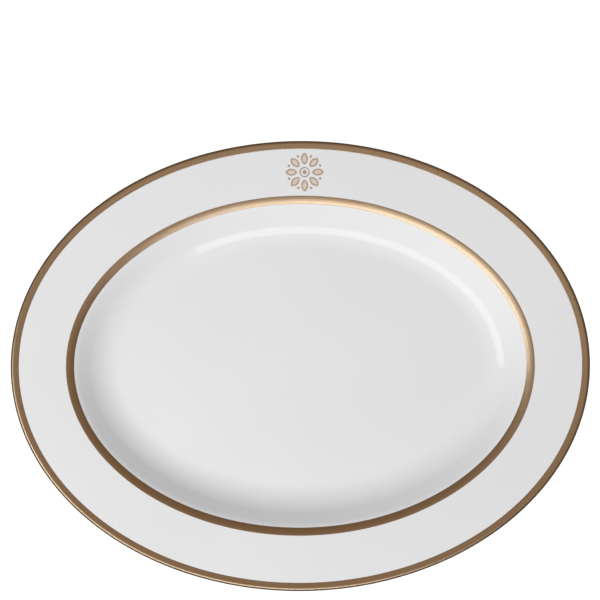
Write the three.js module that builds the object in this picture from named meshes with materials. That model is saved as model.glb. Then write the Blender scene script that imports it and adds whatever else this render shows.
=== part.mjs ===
// An oval china serving platter, in the layers that it is made in: a china body fired in one
// piece with its foot ring, a glaze that stops short of the foot's resting edge, and gold fired
// onto the glaze as a band over the lip, a band along the verge and an ornament on the rim.
// Millimetres, +Z up, with the origin at the centre of the foot's resting plane.
import * as THREE from "three";

// Overall sizes, over the gold on the lip.
const platterLength = 360; // along X
const platterWidth = 280; // along Y
const platterHeight = 26;

// The face, from the lip in to the floor of the well.
const rimWidth = 34; // from the lip to the verge, where the rim turns down
const rimSlope = THREE.MathUtils.degToRad(7);
const vergeRadius = 16; // the rounded shoulder along the verge
const wallLength = 7.5; // the straight part of the well's wall, down its slope
const wellRadius = 30; // the hollow bend from the wall to the floor
const floorHeight = 8; // the top of the floor over the resting plane

// The thickness of the finished china, with its glaze.
const lipThickness = 3.2;
const bodyThickness = 4.4;

// The foot ring, which is part of the body.
const footOutset = 5; // how far outside the edge of the floor the ring's outer side stands
const footWidth = 5.4;
const footCornerRadius = 1;
const footFilletRadius = 2; // where the ring's sides run into the body
const bareStrip = 0.4; // how far the unglazed edge reaches up each side, over its corner

// The coats on the body. Firing fuses them to what they lie on. Here each keeps a hair of
// clearance, so that it stays a solid of its own.
const glazeThickness = 0.3;
const goldThickness = 0.15;
const bondGap = 0.05;

// The gold bands, as widths in plan.
const rimBandWidth = 5; // on the face, in from the outline
const rimBandTurnUnder = 3; // on the underside, in from the outline
const vergeBandWidth = 5; // from the verge inwards

// The ornament, a rosette in gold in the middle of the white of the rim.
const rosetteMargin = 2.5; // white left between the rosette and each gold band
const rosetteShift = 3.5; // how far to the right of the centre line it sits
const bossRadius = 1.3;
const ringRadius = 3.2; // outside radius of the ring round the boss
const ringLine = 0.75; // width of the ring's line
const petalCount = 8;
const petalRootGap = 1.4; // from the ring to the petals' roots
const petalSideGap = 1.95; // between two petals where they are widest
const beadRadius = 0.8; // one bead stands between each petal and the next
const beadInset = 1.5; // from the rosette's outline to the beads' centres

// How finely round shapes are divided.
const turnsAround = 48;
const bendSteps = 4;
const cornerSteps = 3;
const petalSteps = 6;
const ringSteps = 20;
const beadSteps = 8;

// The china lies inside the gold on the lip, and the body inside the glaze.
const goldProud = bondGap + goldThickness;
const bodyInset = glazeThickness + bondGap;
const halfLength = platterLength / 2 - goldProud;
const halfWidth = platterWidth / 2 - goldProud;

// A section of the platter is drawn in two numbers, how far in from the outline and how high.
// Surfaces are named by their slope, and a slope's square direction leans inwards by it.
const at = (inward, height) => new THREE.Vector2(inward, height);
const squareTo = (slope) => at(Math.sin(slope), Math.cos(slope));
const from = (centre, distance, slope) =>
  centre.clone().addScaledVector(squareTo(slope), distance);
const level = 0;
const outwards = -Math.PI / 2;
const inwards = Math.PI / 2;
const down = Math.PI;

// Centres of the bends in the finished section. Every coat is drawn round the same centres.
const lipRadius = lipThickness / 2;
const lipCentre = at(lipRadius, platterHeight - goldProud - lipRadius);
const lipTop = from(lipCentre, lipRadius, rimSlope);
const vergeTop = at(rimWidth, lipTop.y - (rimWidth - lipTop.x) * Math.tan(rimSlope));
const vergeCentre = from(vergeTop, -vergeRadius, rimSlope);
const wallSlope = slopeThatMeetsFloor();
const wallFoot = from(vergeCentre, vergeRadius + wellRadius, wallSlope);
const wellCentre = from(wallFoot, wallLength, wallSlope + inwards);
const floorEdge = wellCentre.x;
const underWellRadius = wellRadius + bodyThickness;
const underVergeRadius = vergeRadius - bodyThickness;
const underRimSlope = slopeUnderRim();

// The foot ring. A fillet is no larger than leaves the bare strip upright.
const bareHeight = footCornerRadius + bareStrip;
const footOuter = floorEdge - footOutset;
const footInner = footOuter + footWidth;
const recessHeight = floorHeight - bodyThickness;
const recessFillet = Math.min(footFilletRadius, recessHeight - bareHeight);
const recessCentre = at(footInner + recessFillet, recessHeight - recessFillet);
const outerFillet = Math.min(footFilletRadius, largestOuterFillet());
const outerFilletSlope = Math.asin((footOutset + outerFillet) / (underWellRadius + outerFillet));
const outerFilletCentre = from(wellCentre, -underWellRadius - outerFillet, outerFilletSlope);

// Further in than this the body is flat above and below.
const flatInset = Math.max(floorEdge, recessCentre.x);

// The steepest slope follows from the height that the shoulder, the wall and the bend make up.
function slopeThatMeetsFloor() {
  const bends = vergeRadius + wellRadius;
  const rise = floorHeight + wellRadius - vergeCentre.y;
  return Math.acos(rise / Math.hypot(bends, wallLength)) - Math.atan2(wallLength, bends);
}

// The underside of the rim is straight from the lip's round to the underside of the verge.
function slopeUnderRim() {
  const reach = lipCentre.clone().sub(vergeCentre);
  const rise = lipRadius + underVergeRadius;
  return Math.acos(rise / reach.length()) + Math.atan2(reach.x, reach.y);
}

// The largest round between the foot's outer side and the underside that ends over the bare strip.
function largestOuterFillet() {
  const drop = wellCentre.y - bareHeight;
  const spare = drop ** 2 - underWellRadius ** 2 + footOutset ** 2;
  return spare / (2 * (underWellRadius - footOutset));
}

// Points round a bend. A hollow bend has a negative radius.
function bend(centre, radius, firstSlope, lastSlope, steps) {
  return Array.from({ length: steps + 1 }, (_, i) =>
    from(centre, radius, THREE.MathUtils.lerp(firstSlope, lastSlope, i / steps)),
  );
}

// The face at a depth under the finished surface, from the outermost point of the lip inwards.
function faceLine(depth) {
  return [
    ...bend(lipCentre, lipRadius - depth, outwards, level, cornerSteps),
    from(lipCentre, lipRadius - depth, rimSlope),
    ...bend(vergeCentre, vergeRadius - depth, rimSlope, wallSlope, bendSteps),
    ...bend(wellCentre, -wellRadius - depth, wallSlope, level, bendSteps),
  ];
}

// The underside at a depth, from the foot ring's outer side out to the lip.
function undersideLine(depth) {
  return [
    ...bend(outerFilletCentre, outerFillet + depth, inwards, outerFilletSlope, cornerSteps),
    ...bend(wellCentre, depth - underWellRadius, outerFilletSlope, wallSlope, bendSteps).slice(1),
    ...bend(vergeCentre, underVergeRadius + depth, wallSlope, underRimSlope, cornerSteps),
    ...bend(lipCentre, lipRadius - depth, underRimSlope - down, outwards, cornerSteps).slice(0, -1),
  ];
}

// The recess inside the foot ring at a depth, from the flat to the ring's inner side.
function recessLine(depth) {
  return bend(recessCentre, recessFillet + depth, level, outwards, cornerSteps);
}

// The part of a line between two distances in from the outline.
function between(line, outer, inner) {
  return line.flatMap((point, i) => {
    const last = line[Math.max(i - 1, 0)];
    const edges = point.x > last.x ? [outer, inner] : [inner, outer];
    const cuts = edges
      .filter((edge) => (last.x - edge) * (point.x - edge) < 0)
      .map((edge) => last.clone().lerp(point, (edge - last.x) / (point.x - last.x)));
    return point.x >= outer && point.x <= inner ? [...cuts, point] : cuts;
  });
}

// Sweeps a section round the oval. Each turn of the lathe is moved out to the oval's own outline
// and drawn inwards square to it, so that rim and wall keep their widths all the way round. The
// flat middle closes evenly on the centre.
function ovalLathe(section) {
  const profile = section.map((point) => at(halfLength - point.x, point.y));
  const geometry = new THREE.LatheGeometry(profile, turnsAround).rotateX(Math.PI / 2);
  const position = geometry.getAttribute("position");
  for (let i = 0; i < position.count; i++) {
    const turn = Math.atan2(position.getY(i), position.getX(i));
    const radius = Math.hypot(position.getX(i), position.getY(i));
    const inward = Math.min(halfLength - radius, flatInset);
    const plan = ovalPoint(turn, inward).multiplyScalar(radius / (halfLength - inward));
    position.setXY(i, plan.x, plan.y);
  }
  return geometry;
}

// The outline's square direction at a turn, and the point that lies a distance in from it.
function ovalNormal(turn) {
  return at(halfWidth * Math.cos(turn), halfLength * Math.sin(turn)).normalize();
}
function ovalPoint(turn, inward) {
  const outline = at(halfLength * Math.cos(turn), halfWidth * Math.sin(turn));
  return outline.addScaledVector(ovalNormal(turn), -inward);
}

// How far in from the outline a point on the far side of the rim lies, and at what turn.
function placeOnRim(point) {
  let turn = Math.PI / 2;
  let inward = halfWidth - point.y;
  for (let step = 0; step < 8; step++) {
    const miss = point.clone().sub(ovalPoint(turn, inward));
    const normal = ovalNormal(turn);
    inward -= miss.dot(normal);
    turn += (miss.y * normal.x - miss.x * normal.y) / halfLength;
  }
  return { turn, inward };
}

const china = new THREE.MeshStandardMaterial({ color: 0xefece6, roughness: 0.75 });
const glaze = new THREE.MeshStandardMaterial({ color: 0xf4f4f5, roughness: 0.08 });
const gold = new THREE.MeshStandardMaterial({ color: 0xb08a55, roughness: 0.3, metalness: 1 });

function named(name, geometry, material) {
  const mesh = new THREE.Mesh(geometry, material);
  mesh.name = name;
  return mesh;
}

// The china itself, fired in one piece: rim, wall, floor and foot ring.
function bisqueBody() {
  const cornerIn = footCornerRadius + bodyInset;
  const innerCorner = at(footInner - cornerIn, footCornerRadius);
  const outerCorner = at(footOuter + cornerIn, footCornerRadius);
  const section = [
    at(halfLength, recessHeight + bodyInset),
    ...recessLine(bodyInset),
    ...bend(innerCorner, footCornerRadius, inwards, down, cornerSteps),
    ...bend(outerCorner, footCornerRadius, down, down + inwards, cornerSteps),
    ...undersideLine(bodyInset),
    ...faceLine(bodyInset),
    at(halfLength, floorHeight - bodyInset),
  ];
  return named("bisque_body", ovalLathe(section), china);
}

// The glaze over the face, round the lip and down to the bare strip outside the foot ring.
function glazeCoat() {
  const coat = (depth) => [
    at(footOuter + depth, bareHeight),
    ...undersideLine(depth),
    ...faceLine(depth),
    at(halfLength, floorHeight - depth),
  ];
  const section = [...coat(0), ...coat(glazeThickness).reverse()];
  return named("glaze_coat", ovalLathe([...section, section[0]]), glaze);
}

// The glaze inside the foot ring, which the bare strip parts from the rest.
function recessGlaze() {
  const coat = (depth) => [
    at(halfLength, recessHeight + depth),
    ...recessLine(depth),
    at(footInner - depth, bareHeight),
  ];
  const section = [...coat(0), ...coat(glazeThickness).reverse()];
  return named("recess_glaze", ovalLathe(section), glaze);
}

// A gold band is the stretch of a line that it covers, with its own thickness.
function goldBand(name, stretch) {
  const section = [...stretch(-goldProud), ...stretch(-bondGap).reverse()];
  return named(name, ovalLathe([...section, section[0]]), gold);
}

function rimGoldBand() {
  return goldBand("rim_gold_band", (depth) => [
    ...between(undersideLine(depth), depth, rimBandTurnUnder),
    ...between(faceLine(depth), depth, rimBandWidth),
  ]);
}

function vergeGoldBand() {
  return goldBand("verge_gold_band", (depth) =>
    between(faceLine(depth), rimWidth, rimWidth + vergeBandWidth),
  );
}

// Lays a drawn shape on the rim, given where it stands from the rosette's centre.
function gildOnRim(name, shape, x, y, turned) {
  const centre = at(rosetteShift, halfWidth - (rimBandWidth + rimWidth) / 2);
  const { turn, inward } = placeOnRim(centre.add(at(x, y)));
  const height = lipTop.y - (inward - lipTop.x) * Math.tan(rimSlope);
  const options = { depth: goldThickness, bevelEnabled: false };
  const mesh = named(name, new THREE.ExtrudeGeometry(shape, options), gold);
  const outline = ovalNormal(turn);
  const tilt = new THREE.Vector3(outline.y, -outline.x, 0);
  const lift = new THREE.Vector3(0, 0, bondGap).applyAxisAngle(tilt, rimSlope);
  mesh.position.set(centre.x, centre.y, height).add(lift);
  mesh.quaternion.setFromAxisAngle(tilt, rimSlope);
  mesh.rotateZ(turned);
  return mesh;
}

// A polygon near enough to a circle.
function disc(radius, steps) {
  const points = Array.from({ length: steps }, (_, i) => {
    const turn = (i / steps) * 2 * Math.PI;
    return at(radius * Math.cos(turn), radius * Math.sin(turn));
  });
  return new THREE.Shape(points);
}

// The petals fill the rosette from the ring to its outline.
const rosetteRadius = (rimWidth - rimBandWidth) / 2 - rosetteMargin;
const petalLength = rosetteRadius - ringRadius - petalRootGap;
const petalOut = rosetteRadius - petalLength / 2;
const petalWidth = 2 * petalOut * Math.sin(Math.PI / petalCount) - petalSideGap;

// A petal's outline is two arcs that meet in points at its root and its tip.
function petal() {
  const radius = (petalLength ** 2 + petalWidth ** 2) / (4 * petalWidth);
  const offCentre = radius - petalWidth / 2;
  const half = Math.acos(offCentre / radius);
  const path = new THREE.Path();
  path.absarc(-offCentre, 0, radius, -half, half, false);
  path.absarc(offCentre, 0, radius, Math.PI - half, Math.PI + half, false);
  return new THREE.Shape(path.getPoints(petalSteps).slice(0, -1));
}

function ring() {
  const shape = disc(ringRadius, ringSteps);
  shape.holes.push(new THREE.Path(disc(ringRadius - ringLine, ringSteps).getPoints()));
  return shape;
}

// The rosette: a boss in a ring, petals round the ring and a bead between each two petals.
function rosette() {
  const pieces = [
    gildOnRim("rosette_boss", disc(bossRadius, ringSteps), 0, 0, 0),
    gildOnRim("rosette_ring", ring(), 0, 0, 0),
  ];
  const beadOut = rosetteRadius - beadInset;
  for (let i = 0; i < petalCount; i++) {
    const turn = (i / petalCount) * 2 * Math.PI;
    const halfway = turn + Math.PI / petalCount;
    const place = (out, angle) => [-out * Math.sin(angle), out * Math.cos(angle)];
    const petalAt = place(petalOut, turn);
    const beadAt = place(beadOut, halfway);
    pieces.push(gildOnRim(`rosette_petal_${i + 1}`, petal(), ...petalAt, turn));
    pieces.push(gildOnRim(`rosette_bead_${i + 1}`, disc(beadRadius, beadSteps), ...beadAt, 0));
  }
  return pieces;
}

const platter = new THREE.Group();
platter.add(bisqueBody(), glazeCoat(), recessGlaze(), rimGoldBand(), vergeGoldBand());
platter.add(...rosette());

export default platter;
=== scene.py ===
import math

import bmesh
import bpy
import numpy as np
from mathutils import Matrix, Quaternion, Vector


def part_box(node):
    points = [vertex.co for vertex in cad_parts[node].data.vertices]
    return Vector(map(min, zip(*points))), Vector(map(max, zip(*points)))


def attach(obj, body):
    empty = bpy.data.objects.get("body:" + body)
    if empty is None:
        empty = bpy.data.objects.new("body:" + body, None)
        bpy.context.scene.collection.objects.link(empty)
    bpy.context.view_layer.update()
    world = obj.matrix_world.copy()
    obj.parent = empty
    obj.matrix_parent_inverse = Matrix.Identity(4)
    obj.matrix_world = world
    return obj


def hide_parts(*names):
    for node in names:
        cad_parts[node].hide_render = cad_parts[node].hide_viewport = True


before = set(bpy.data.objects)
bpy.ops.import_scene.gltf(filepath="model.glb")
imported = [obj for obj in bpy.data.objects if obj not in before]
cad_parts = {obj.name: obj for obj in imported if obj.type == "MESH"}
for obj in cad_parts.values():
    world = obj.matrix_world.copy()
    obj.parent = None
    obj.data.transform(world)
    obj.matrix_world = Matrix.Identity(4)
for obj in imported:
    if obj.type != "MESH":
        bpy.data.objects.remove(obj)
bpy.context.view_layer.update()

mm = 0.001

# The glazed china fills the box of its glaze.
china_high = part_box("glaze_coat")[1]
half_length = china_high[0]
half_width = china_high[1]
china_top = china_high[2]

# The finished section, from the lip in to the floor of the well.
rim_width = 34 * mm
rim_slope = math.radians(7)
verge_radius = 16 * mm
wall_length = 7.5 * mm
well_radius = 30 * mm
floor_height = 8 * mm
lip_radius = 1.6 * mm
body_thickness = 4.4 * mm

foot_outset = 5 * mm
foot_width = 5.4 * mm
foot_corner = 1 * mm
foot_fillet = 2 * mm
bare_height = foot_corner + 0.4 * mm

glaze_thickness = 0.3 * mm
bond_gap = 0.05 * mm
body_inset = glaze_thickness + bond_gap

turns_around = 288
bend_step = math.radians(2)
corner_step = math.radians(11)

# A section is drawn in how far in from the outline and how high. A surface is named by its
# slope, and the direction square to it leans inwards by that slope.
level = 0
outwards = -math.pi / 2
inwards = math.pi / 2
down = math.pi


def square_to(slope):
    return np.array([math.sin(slope), math.cos(slope)])


def bend(centre, radius, first, last, step):
    count = max(2, round(abs(last - first) / step))
    return [centre + radius * square_to(slope) for slope in np.linspace(first, last, count + 1)]


# Centres of the bends, worked inwards from the lip.
lip_centre = np.array([lip_radius, china_top - lip_radius])
lip_top = lip_centre + lip_radius * square_to(rim_slope)
verge_top = np.array([rim_width, lip_top[1] - (rim_width - lip_top[0]) * math.tan(rim_slope)])
verge_centre = verge_top - verge_radius * square_to(rim_slope)
both_bends = verge_radius + well_radius
bends_rise = floor_height + well_radius - verge_centre[1]
wall_slope = math.acos(bends_rise / math.hypot(both_bends, wall_length))
wall_slope -= math.atan2(wall_length, both_bends)
wall_foot = verge_centre + both_bends * square_to(wall_slope)
well_centre = wall_foot + wall_length * square_to(wall_slope + inwards)
floor_edge = well_centre[0]
under_well_radius = well_radius + body_thickness
under_verge_radius = verge_radius - body_thickness
lip_reach = lip_centre - verge_centre
under_rim_rise = (lip_radius + under_verge_radius) / math.hypot(*lip_reach)
under_rim_slope = math.acos(under_rim_rise) + math.atan2(*lip_reach)

foot_outer = floor_edge - foot_outset
foot_inner = foot_outer + foot_width
recess_height = floor_height - body_thickness
recess_centre = np.array([foot_inner + foot_fillet, recess_height - foot_fillet])
fillet_slope = math.asin((foot_outset + foot_fillet) / (under_well_radius + foot_fillet))
fillet_centre = well_centre - (under_well_radius + foot_fillet) * square_to(fillet_slope)
flat_inset = recess_centre[0] + 1 * mm


def face_line(depth):
    verge = bend(verge_centre, verge_radius - depth, rim_slope, wall_slope, bend_step)
    return [
        *bend(lip_centre, lip_radius - depth, outwards, rim_slope, corner_step),
        *straight(lip_centre + (lip_radius - depth) * square_to(rim_slope), verge[0]),
        *verge,
        *bend(well_centre, -well_radius - depth, wall_slope, level, bend_step),
    ]


def underside_line(depth):
    verge = bend(verge_centre, under_verge_radius + depth, wall_slope, under_rim_slope, bend_step)
    lip = bend(lip_centre, lip_radius - depth, under_rim_slope - down, outwards, corner_step)
    return [
        *bend(fillet_centre, foot_fillet + depth, inwards, fillet_slope, corner_step),
        *bend(well_centre, depth - under_well_radius, fillet_slope, wall_slope, bend_step)[1:],
        *verge,
        *straight(verge[-1], lip[0]),
        *lip[:-1],
    ]


def recess_line(depth):
    return bend(recess_centre, foot_fillet + depth, level, outwards, corner_step)


# Points between two ends, without the ends.
def straight(start, end, step=3 * mm):
    count = math.ceil(math.dist(start, end) / step)
    return [start + (end - start) * i / count for i in range(1, count)]


# The outline is an oval, and a distance in from it is measured square to it, so the rim and the
# wall keep their widths all the way round. The flat middle closes evenly on the centre.
def outline_square(turn):
    leaning = np.array([half_width * math.cos(turn), half_length * math.sin(turn)])
    return leaning / math.hypot(*leaning)


def plan_point(turn, inward):
    held = min(inward, flat_inset)
    outline = np.array([half_length * math.cos(turn), half_width * math.sin(turn)])
    closing = (half_length - inward) / (half_length - held)
    return (outline - held * outline_square(turn)) * closing


# Joins rows of points into a closed surface. A row is a ring round the oval, or a single point
# where the surface closes on the axis.
def skin(name, rows, joined_ends):
    mesh = bmesh.new()
    rings = [[mesh.verts.new(point) for point in row] for row in rows]
    pairs = list(zip(rings, rings[1:]))
    if joined_ends:
        pairs.append((rings[-1], rings[0]))
    for low, high in pairs:
        count = max(len(low), len(high))
        for i in range(count):
            after = (i + 1) % count
            corners = [low[i % len(low)], low[after % len(low)]]
            corners += [high[after % len(high)], high[i % len(high)]]
            mesh.faces.new(list(dict.fromkeys(corners)))
    bmesh.ops.recalc_face_normals(mesh, faces=mesh.faces)
    data = bpy.data.meshes.new(name)
    mesh.to_mesh(data)
    mesh.free()
    data.shade_smooth()
    piece = bpy.data.objects.new(name, data)
    bpy.context.collection.objects.link(piece)
    return piece


def sweep(name, section, joined_ends):
    turns = [2 * math.pi * i / turns_around for i in range(turns_around)]
    rows = []
    for inward, height in section:
        if inward >= half_length:
            rows.append([(0, 0, height)])
        else:
            rows.append([(*plan_point(turn, inward), height) for turn in turns])
    return skin(name, rows, joined_ends)


# A material starts from its plain shader.
def material(name, **values):
    made = bpy.data.materials.new(name)
    made.use_nodes = True
    shader = made.node_tree.nodes["Principled BSDF"]
    for socket, value in values.items():
        shader.inputs[socket.replace("_", " ")].default_value = value
    return made, shader


def node(made, kind, inputs=(), **settings):
    new = made.node_tree.nodes.new(kind)
    for setting, value in settings.items():
        setattr(new, setting, value)
    for socket, value in dict(inputs).items():
        if isinstance(value, bpy.types.NodeSocket):
            made.node_tree.links.new(value, new.inputs[socket])
        else:
            new.inputs[socket].default_value = value
    return new


def join(made, source, target):
    made.node_tree.links.new(source, target)


# Cloudy noise over the piece, from one value at its darkest to another at its lightest.
def cloud(made, scale, low, high, detail=3, vector=None):
    where = vector or node(made, "ShaderNodeTexCoord").outputs["Object"]
    noise = node(made, "ShaderNodeTexNoise", {"Vector": where, "Scale": scale, "Detail": detail})
    spread = {"Value": noise.outputs["Fac"], "From Min": 0.3, "From Max": 0.7}
    spread |= {"To Min": low, "To Max": high}
    return node(made, "ShaderNodeMapRange", spread).outputs["Result"]


def blend_colours(made, share, first, second):
    inputs = {"Factor": share, 6: (*first, 1), 7: (*second, 1)}
    return node(made, "ShaderNodeMix", inputs, data_type="RGBA").outputs[2]


def raise_surface(made, shader, height, depth, under=None):
    inputs = {"Height": height, "Distance": depth, "Strength": 1}
    if under:
        inputs["Normal"] = under
    bump = node(made, "ShaderNodeBump", inputs)
    join(made, bump.outputs["Normal"], shader.inputs["Normal"])
    return bump.outputs["Normal"]


def bare_china():
    made, shader = material("bare_china", Roughness=0.8)
    clean = (0.80, 0.77, 0.72)
    scuffed = (0.62, 0.58, 0.52)
    scuffs = cloud(made, 90, -0.6, 1, detail=6)
    join(made, blend_colours(made, scuffs, clean, scuffed), shader.inputs["Base Color"])
    raise_surface(made, shader, cloud(made, 2500, 0, 1), 0.02 * mm)
    return made


def china_body():
    inner = np.array([foot_inner - body_inset - foot_corner, foot_corner])
    outer = np.array([foot_outer + body_inset + foot_corner, foot_corner])
    section = [
        (half_length, recess_height + body_inset),
        *recess_line(body_inset),
        *bend(inner, foot_corner, inwards, down, corner_step),
        *bend(outer, foot_corner, down, down + inwards, corner_step),
        *underside_line(body_inset),
        *face_line(body_inset),
        (half_length, floor_height - body_inset),
    ]
    return sweep("china_body", section, False)


body = china_body()
body.data.materials.append(bare_china())
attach(body, "root")
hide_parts("bisque_body")

# ---------------------------------------------------------------------------------------------
# The glaze. A clear feldspar glaze, dipped on and fused to the white body, so that it looks
# like deep white glass. One coat runs over the face, round the lip and down to the foot, and a
# second one lies inside the foot ring.
# ---------------------------------------------------------------------------------------------
glaze_end_radius = glaze_thickness / 2


def white_glaze():
    made, shader = material("white_glaze", IOR=1.5)
    white = (0.80, 0.80, 0.806)
    thicker = (0.775, 0.777, 0.79)
    share = cloud(made, 9, 0, 1)
    join(made, blend_colours(made, share, white, thicker), shader.inputs["Base Color"])
    join(made, cloud(made, 60, 0.05, 0.085), shader.inputs["Roughness"])
    ripple = raise_surface(made, shader, cloud(made, 55, 0, 1, detail=1), 0.006 * mm)
    raise_surface(made, shader, cloud(made, 600, 0, 1, detail=1), 0.0006 * mm, ripple)
    return made


# A coat of one thickness whose bare edge is rounded.
def coat_section(outer_line, edge_centre, edge_first):
    edge = bend(edge_centre, glaze_end_radius, edge_first, edge_first + down, corner_step * 3)
    return [*outer_line(glaze_thickness)[::-1], *edge[1:-1], *outer_line(0)]


def face_coat():
    def line(depth):
        return [
            np.array([foot_outer + depth, bare_height]),
            *underside_line(depth),
            *face_line(depth),
            np.array([half_length, floor_height - depth]),
        ]

    edge = np.array([foot_outer + glaze_end_radius, bare_height])
    return sweep("glaze_over_china", coat_section(line, edge, inwards), False)


def recess_coat():
    def line(depth):
        return [
            np.array([foot_inner - depth, bare_height]),
            *recess_line(depth)[::-1],
            np.array([half_length, recess_height + depth]),
        ]

    edge = np.array([foot_inner - glaze_end_radius, bare_height])
    edge = bend(edge, glaze_end_radius, outwards, -outwards - 2 * down, corner_step * 3)
    section = [*line(glaze_thickness)[::-1], *edge[1:-1], *line(0)]
    return sweep("glaze_in_foot", section, False)


glaze = white_glaze()
for piece, covered in ((face_coat(), "glaze_coat"), (recess_coat(), "recess_glaze")):
    piece.data.materials.append(glaze)
    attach(piece, "root")
    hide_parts(covered)

# ---------------------------------------------------------------------------------------------
# The gold bands. Burnishing gold laid on the turning platter with a brush and fired onto the
# glaze. The film is thin, its edges are soft, and the brush leaves fine lines along the band.
# ---------------------------------------------------------------------------------------------
film_proud = 0.1 * mm
edge_proud = 0.08 * mm
edge_taper = 0.5 * mm
rim_band_width = 5 * mm
rim_band_turn_under = 3 * mm
verge_band_width = 5 * mm


# The stretch of a line between two distances in from the outline.
def between(line, outer, inner):
    kept = []
    for last, point in zip(line, line[1:]):
        cuts = [edge for edge in (outer, inner) if (last[0] - edge) * (point[0] - edge) < 0]
        cuts.sort(reverse=point[0] < last[0])
        kept += [last + (point - last) * (edge - last[0]) / (point[0] - last[0]) for edge in cuts]
        if outer <= point[0] <= inner:
            kept.append(point)
    return kept


# A band's lower side lies on the glaze and its upper side swells from edge to edge.
def band(name, stretch):
    lower = stretch(-bond_gap)
    upper = stretch(-film_proud)
    low_edge = stretch(-edge_proud)
    run = np.cumsum([0, *(math.dist(a, b) for a, b in zip(upper, upper[1:]))])
    full = []
    for i, point in enumerate(upper):
        near_edge = min(run[i], run[-1] - run[i]) / edge_taper
        swell = math.sin(min(near_edge, 1) * math.pi / 2)
        full.append(low_edge[i] + (point - low_edge[i]) * swell)
    piece = sweep(name, [*full, *lower[::-1]], True)
    across = np.concatenate([run, run[::-1]]) / run[-1]
    shares = np.repeat(across, turns_around)
    piece.data.attributes.new("across", "FLOAT", "POINT").data.foreach_set("value", shares)
    return piece


def rim_stretch(depth):
    face = straight_filled(face_line(depth), 0.4 * mm)
    return [
        *between(underside_line(depth), depth - mm, rim_band_turn_under),
        *between(face, depth - mm, rim_band_width),
    ]


def verge_stretch(depth):
    return between(straight_filled(face_line(depth), 0.4 * mm), rim_width, rim_width + verge_band_width)


def straight_filled(line, step):
    filled = [line[0]]
    for last, point in zip(line, line[1:]):
        filled += [*straight(last, point, step), point]
    return filled


def band_gold():
    made, shader = material("band_gold", Metallic=1)
    place = node(made, "ShaderNodeTexCoord").outputs["Object"]
    across = node(made, "ShaderNodeAttribute", attribute_name="across").outputs["Fac"]
    axes = node(made, "ShaderNodeSeparateXYZ", {"Vector": place})
    lines = {"X": axes.outputs["X"], "Y": axes.outputs["Y"]}
    lines["Z"] = node(made, "ShaderNodeMath", {0: across, 1: 1.6}, operation="MULTIPLY").outputs[0]
    brush = node(made, "ShaderNodeCombineXYZ", lines).outputs["Vector"]
    streaks = cloud(made, 14, 0, 1, detail=5, vector=brush)
    bright = (0.82, 0.65, 0.46)
    deep = (0.74, 0.57, 0.39)
    join(made, blend_colours(made, streaks, bright, deep), shader.inputs["Base Color"])
    join(made, cloud(made, 40, 0.29, 0.39, vector=brush), shader.inputs["Roughness"])
    raise_surface(made, shader, streaks, 0.01 * mm)
    return made


gold = band_gold()
bands = (
    (band("gold_over_lip", rim_stretch), "rim_gold_band"),
    (band("gold_along_verge", verge_stretch), "verge_gold_band"),
)
for piece, covered in bands:
    piece.data.materials.append(gold)
    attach(piece, "root")
    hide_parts(covered)

# ---------------------------------------------------------------------------------------------
# The rosette on the rim. Drawn with a fine brush in paste gold after the bands, in islands that
# don't touch: a boss in a ring, and petals and beads round it. A petal is a burnished line round
# a matt, pale gold fill.
# ---------------------------------------------------------------------------------------------
gold_thickness = 0.15 * mm
rosette_shift = 3.5 * mm
rosette_margin = 2.5 * mm
boss_radius = 1.3 * mm
ring_radius = 3.2 * mm
ring_line = 0.75 * mm
petal_count = 8
petal_arc_points = 20
petal_line = 0.9 * mm
petal_root_gap = 1.4 * mm
petal_side_gap = 1.95 * mm
bead_radius = 0.8 * mm
bead_inset = 1.5 * mm

rosette_radius = (rim_width - rim_band_width) / 2 - rosette_margin
rosette_out = half_width - (rim_band_width + rim_width) / 2
petal_length = rosette_radius - ring_radius - petal_root_gap
petal_out = rosette_radius - petal_length / 2
petal_width = 2 * petal_out * math.sin(math.pi / petal_count) - petal_side_gap

# A brushed edge, as how far in from the outline and how much of the gold's thickness.
brushed_edge = ((0, 0), (0.01, 0.45), (0.07, 0.8), (0.18, 0.97))
brushed_edge = [(inset * mm, share * gold_thickness) for inset, share in brushed_edge]


# How high the rim's glaze is over a point of the plan. The point is slid along the outline and
# square to it until it lies where it should.
def rim_height(x, y):
    turn = math.atan2(y / half_width, x / half_length)
    inward = rim_width / 2
    for _ in range(6):
        square = outline_square(turn)
        miss = np.array([x, y]) - plan_point(turn, inward)
        inward -= miss @ square
        turn += (miss[1] * square[0] - miss[0] * square[1]) / half_length
    return lip_top[1] - (inward - lip_top[0]) * math.tan(rim_slope)


# Lays an island of gold on the rim. Its outline is given for any inset, its steps say how high
# it is at each inset, and it stands so far out from the rosette's middle at an angle.
def gild(name, outline, steps, out, angle, hollow=False):
    rows = []
    sine, cosine = math.sin(angle), math.cos(angle)
    for inset, rise in steps:
        row = []
        for x, y in outline(inset):
            across = x * cosine - (y + out) * sine + rosette_shift
            away = x * sine + (y + out) * cosine + rosette_out
            row.append((across, away, rim_height(across, away) + bond_gap + rise))
        rows.append(row)
    return skin(name, rows, hollow)


def circle(radius, points):
    def outline(inset):
        if inset >= radius:
            return [(0, 0)]
        size = radius - inset
        turns = [2 * math.pi * i / points for i in range(points)]
        return [(size * math.cos(turn), size * math.sin(turn)) for turn in turns]

    return outline


# Two arcs that meet in points at the root and at the tip.
def petal_outline(inset):
    radius = (petal_length**2 + petal_width**2) / (4 * petal_width)
    off_centre = radius - petal_width / 2
    radius -= inset
    if radius <= off_centre:
        return [(0, 0)]
    half = math.acos(off_centre / radius)
    arc = []
    for i in range(petal_arc_points):
        turn = half * (2 * i / petal_arc_points - 1)
        arc.append((radius * math.cos(turn) - off_centre, radius * math.sin(turn)))
    return arc + [(-x, -y) for x, y in arc]


def dome(radius):
    return [(radius, 0), *brushed_edge, (radius * 0.6, gold_thickness), (radius, gold_thickness)]


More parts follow.
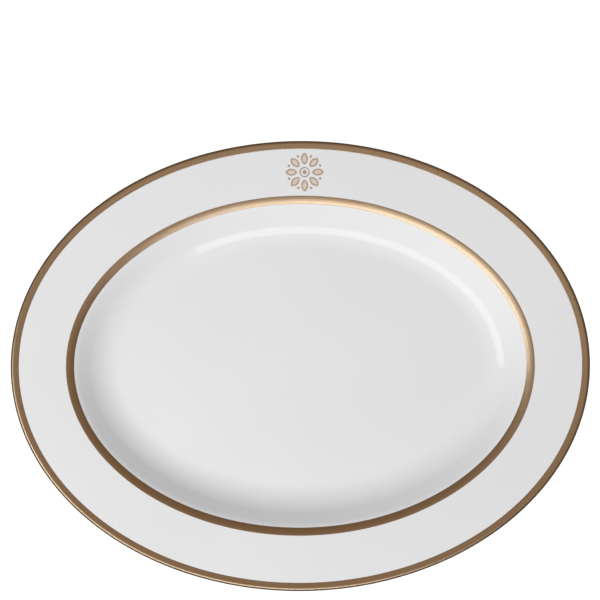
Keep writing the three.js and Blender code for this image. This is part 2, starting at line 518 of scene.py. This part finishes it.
ring_steps = [*brushed_edge, (ring_line / 2, gold_thickness)]
ring_steps += [(ring_line - inset, rise) for inset, rise in brushed_edge[::-1]]

fill_rise = gold_thickness * 0.45
line_steps = [*brushed_edge, (petal_line / 2, gold_thickness)]
line_steps += [(petal_line - inset, max(rise, fill_rise)) for inset, rise in brushed_edge[::-1]]
petal_steps = [(petal_width, 0), *line_steps, (petal_line * 1.15, fill_rise)]
petal_steps += [(petal_width * 0.36, fill_rise * 1.1), (petal_width, fill_rise * 1.15)]


# Marks the petal's matt fill, which is all that lies inside its line.
def mark_fill(piece):
    row_points = [1, *[2 * petal_arc_points] * (len(petal_steps) - 2), 1]
    matt = []
    for (inset, rise), count in zip(petal_steps, row_points):
        matt += [float(inset > petal_line and rise > 0)] * count
    piece.data.attributes.new("matt", "FLOAT", "POINT").data.foreach_set("value", matt)


def rosette_gold():
    made, shader = material("rosette_gold")
    matt = node(made, "ShaderNodeAttribute", attribute_name="matt").outputs["Fac"]
    strokes = cloud(made, 900, 0, 1, detail=4)
    line = blend_colours(made, strokes, (0.66, 0.52, 0.41), (0.58, 0.45, 0.35))
    fill = blend_colours(made, strokes, (0.76, 0.65, 0.55), (0.68, 0.57, 0.47))
    both = node(made, "ShaderNodeMix", {"Factor": matt, 6: line, 7: fill}, data_type="RGBA")
    join(made, both.outputs[2], shader.inputs["Base Color"])
    metal = {"Value": matt, "To Min": 0.5, "To Max": 0.1}
    metal = node(made, "ShaderNodeMapRange", metal).outputs["Result"]
    join(made, metal, shader.inputs["Metallic"])
    rough = {"Value": matt, "To Min": 0.3, "To Max": 0.55}
    rough = node(made, "ShaderNodeMapRange", rough).outputs["Result"]
    join(made, rough, shader.inputs["Roughness"])
    raise_surface(made, shader, strokes, 0.01 * mm)
    return made


def rosette():
    yield gild("rosette_boss_gold", circle(boss_radius, 40), dome(boss_radius), 0, 0), "rosette_boss"
    yield gild("rosette_ring_gold", circle(ring_radius, 72), ring_steps, 0, 0, True), "rosette_ring"
    for i in range(petal_count):
        angle = 2 * math.pi * i / petal_count
        petal = gild(f"petal_gold_{i + 1}", petal_outline, petal_steps, petal_out, angle)
        mark_fill(petal)
        yield petal, f"rosette_petal_{i + 1}"
        angle += math.pi / petal_count
        drop = circle(bead_radius, 28)
        bead = gild(f"bead_gold_{i + 1}", drop, dome(bead_radius), rosette_radius - bead_inset, angle)
        yield bead, f"rosette_bead_{i + 1}"


paste_gold = rosette_gold()
for piece, covered in rosette():
    piece.data.materials.append(paste_gold)
    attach(piece, "root")
    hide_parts(covered)

# ---------------------------------------------------------------------------------------------
# The table, the light and the camera. A white table, a long bent softbox at the front left, three
# round lamps round it, and a room that is dim towards the back. The table lies a hair under the
# foot, so that the two don't share a plane.
# ---------------------------------------------------------------------------------------------
table_reach = 6
table_corners = [(-1, -1), (1, -1), (1, 1), (-1, 1)]
table_height = -0.02 * mm
table_surface = [(x * table_reach, y * table_reach, table_height) for x, y in table_corners]
table_mesh = bpy.data.meshes.new("table")
table_mesh.from_pydata(table_surface, [], [(0, 1, 2, 3)])
table = bpy.data.objects.new("table", table_mesh)
bpy.context.collection.objects.link(table)


# Its glow is strong to the eye and weaker on the china, and gold doesn't mirror it.
def pale_paper():
    made, shader = material("pale_paper", Roughness=0.9, Specular_IOR_Level=0)
    shader.inputs["Base Color"].default_value = (0.05, 0.05, 0.05, 1)
    shader.inputs["Emission Color"].default_value = (1, 1, 1, 1)
    ray = node(made, "ShaderNodeLightPath")
    seen = node(made, "ShaderNodeMath", {0: ray.outputs["Is Camera Ray"], 1: 1.05}, operation="MULTIPLY")
    glow = {0: ray.outputs["Is Diffuse Ray"], 1: 0.52, 2: seen.outputs[0]}
    glow = node(made, "ShaderNodeMath", glow, operation="MULTIPLY_ADD")
    join(made, glow.outputs[0], shader.inputs["Emission Strength"])
    made.cycles.emission_sampling = "NONE"
    return made


table.data.materials.append(pale_paper())

light_distance = 1.6
light_azimuth = math.radians(233)
light_zenith = math.radians(37)


def from_platter(azimuth, zenith, distance):
    flat = math.sin(zenith)
    pointing = (math.cos(azimuth) * flat, math.sin(azimuth) * flat, math.cos(zenith))
    return Vector(pointing) * distance


# The softbox is a strip of cloth bent round the platter at one height.
softbox_spread = math.radians(116)
softbox_low = math.radians(46.5)
softbox_high = math.radians(28.5)
softbox_columns = 24
softbox_glow = 2.4


def softbox():
    points = []
    for i in range(softbox_columns + 1):
        azimuth = light_azimuth + softbox_spread * (i / softbox_columns - 0.5)
        points += [from_platter(azimuth, z, light_distance) for z in (softbox_low, softbox_high)]
    faces = [(2 * i, 2 * i + 1, 2 * i + 3, 2 * i + 2) for i in range(softbox_columns)]
    mesh = bpy.data.meshes.new("softbox")
    mesh.from_pydata(points, [], faces)
    cloth = bpy.data.materials.new("softbox_cloth")
    cloth.use_nodes = True
    cloth.node_tree.nodes.clear()
    glow = node(cloth, "ShaderNodeEmission", {"Strength": softbox_glow})
    out = node(cloth, "ShaderNodeOutputMaterial")
    join(cloth, glow.outputs[0], out.inputs["Surface"])
    mesh.materials.append(cloth)
    box = bpy.data.objects.new("softbox", mesh)
    bpy.context.collection.objects.link(box)
    box.visible_camera = False


softbox()


# Round lamps behind silk light the china and leave no mirror image in it.
def lamp(name, azimuth, zenith, distance, energy):
    light = bpy.data.lights.new(name, "AREA")
    light.shape = "DISK"
    light.size = 0.9
    light.energy = energy
    stand = bpy.data.objects.new(name, light)
    stand.location = from_platter(math.radians(azimuth), math.radians(zenith), distance)
    stand.rotation_euler = stand.location.to_track_quat("Z", "Y").to_euler()
    stand.visible_glossy = False
    bpy.context.collection.objects.link(stand)


lamp("side_lamp", 224, 42, 1.0, 2.5)
lamp("low_lamp", 210, 60, 1.6, 3.4)
lamp("top_lamp", 250, 15, 1.0, 2.9)


# The room glows round the softbox, is dim at the back and dark down near the table. What shines
# back from it in gold is warmer: brown walls and a pale ceiling.
def light_the_room():
    room = bpy.data.worlds.new("room")
    bpy.context.scene.world = room
    room.use_nodes = True
    room.cycles.sampling_method = "NONE"
    path = node(room, "ShaderNodeLightPath").outputs
    sight = node(room, "ShaderNodeTexCoord").outputs["Generated"]
    rise = node(room, "ShaderNodeSeparateXYZ", {"Vector": sight}).outputs["Z"]
    softbox_way = from_platter(light_azimuth, light_zenith, 1)
    facing = node(room, "ShaderNodeVectorMath", {0: sight, 1: softbox_way}, operation="DOT_PRODUCT")
    facing = facing.outputs["Value"]

    # A glow round one direction: the higher the power, the narrower it is.
    def glow(way, power, strength, under):
        seen = node(room, "ShaderNodeMath", {0: way, 1: 0}, operation="MAXIMUM").outputs[0]
        near = node(room, "ShaderNodeMath", {0: seen, 1: power}, operation="POWER").outputs[0]
        both = {0: near, 1: strength, 2: under}
        return node(room, "ShaderNodeMath", both, operation="MULTIPLY_ADD").outputs[0]

    def walls(brightest):
        wall = {"Value": rise, "From Min": 0, "From Max": 0.5, "To Min": 0.05, "To Max": brightest}
        return node(room, "ShaderNodeMapRange", wall, interpolation_type="SMOOTHSTEP").outputs[0]

    def tinted(colour, strength):
        light = {0: colour, "Scale": strength}
        return node(room, "ShaderNodeVectorMath", light, operation="SCALE").outputs[0]

    white = (1, 1, 1)
    warm = (1, 0.70, 0.46)
    cast = tinted(white, glow(facing, 4, 0.6, walls(0.21)))
    from_walls = tinted(warm, glow(rise, 8, 0.1, walls(0.16)))
    from_softbox = tinted(white, glow(facing, 16, 0.4, 0))
    shone = node(room, "ShaderNodeVectorMath", {0: from_softbox, 1: from_walls}).outputs[0]
    mixed = {"Factor": path["Is Glossy Ray"], 6: cast, 7: shone}
    mixed = node(room, "ShaderNodeMix", mixed, data_type="RGBA").outputs[2]
    looked_at = {"Factor": path["Is Camera Ray"], 6: mixed, 7: (1, 1, 1, 1)}
    looked_at = node(room, "ShaderNodeMix", looked_at, data_type="RGBA").outputs[2]
    background = room.node_tree.nodes["Background"]
    background.inputs["Strength"].default_value = 1
    join(room, looked_at, background.inputs["Color"])


light_the_room()

# The camera looks down from almost straight above, past the far side of the platter.
lens = bpy.data.cameras.new("camera")
lens.lens = 174
lens.sensor_width = 36
camera = bpy.data.objects.new("camera", lens)
bpy.context.collection.objects.link(camera)
camera_distance = 1.8
camera_lean = math.radians(2.5)
camera_roll = math.radians(0.4)
aim = Vector((0.0001, 0.0403, china_top))
platter_to_camera = Vector((0, -math.sin(camera_lean), math.cos(camera_lean)))
camera.location = Vector((0, 0, china_top)) + platter_to_camera * camera_distance
looking = (camera.location - aim).to_track_quat("Z", "Y")
camera.rotation_euler = (looking @ Quaternion((0, 0, 1), -camera_roll)).to_euler()
bpy.context.scene.camera = camera
bpy.context.scene.view_settings.view_transform = "Standard"
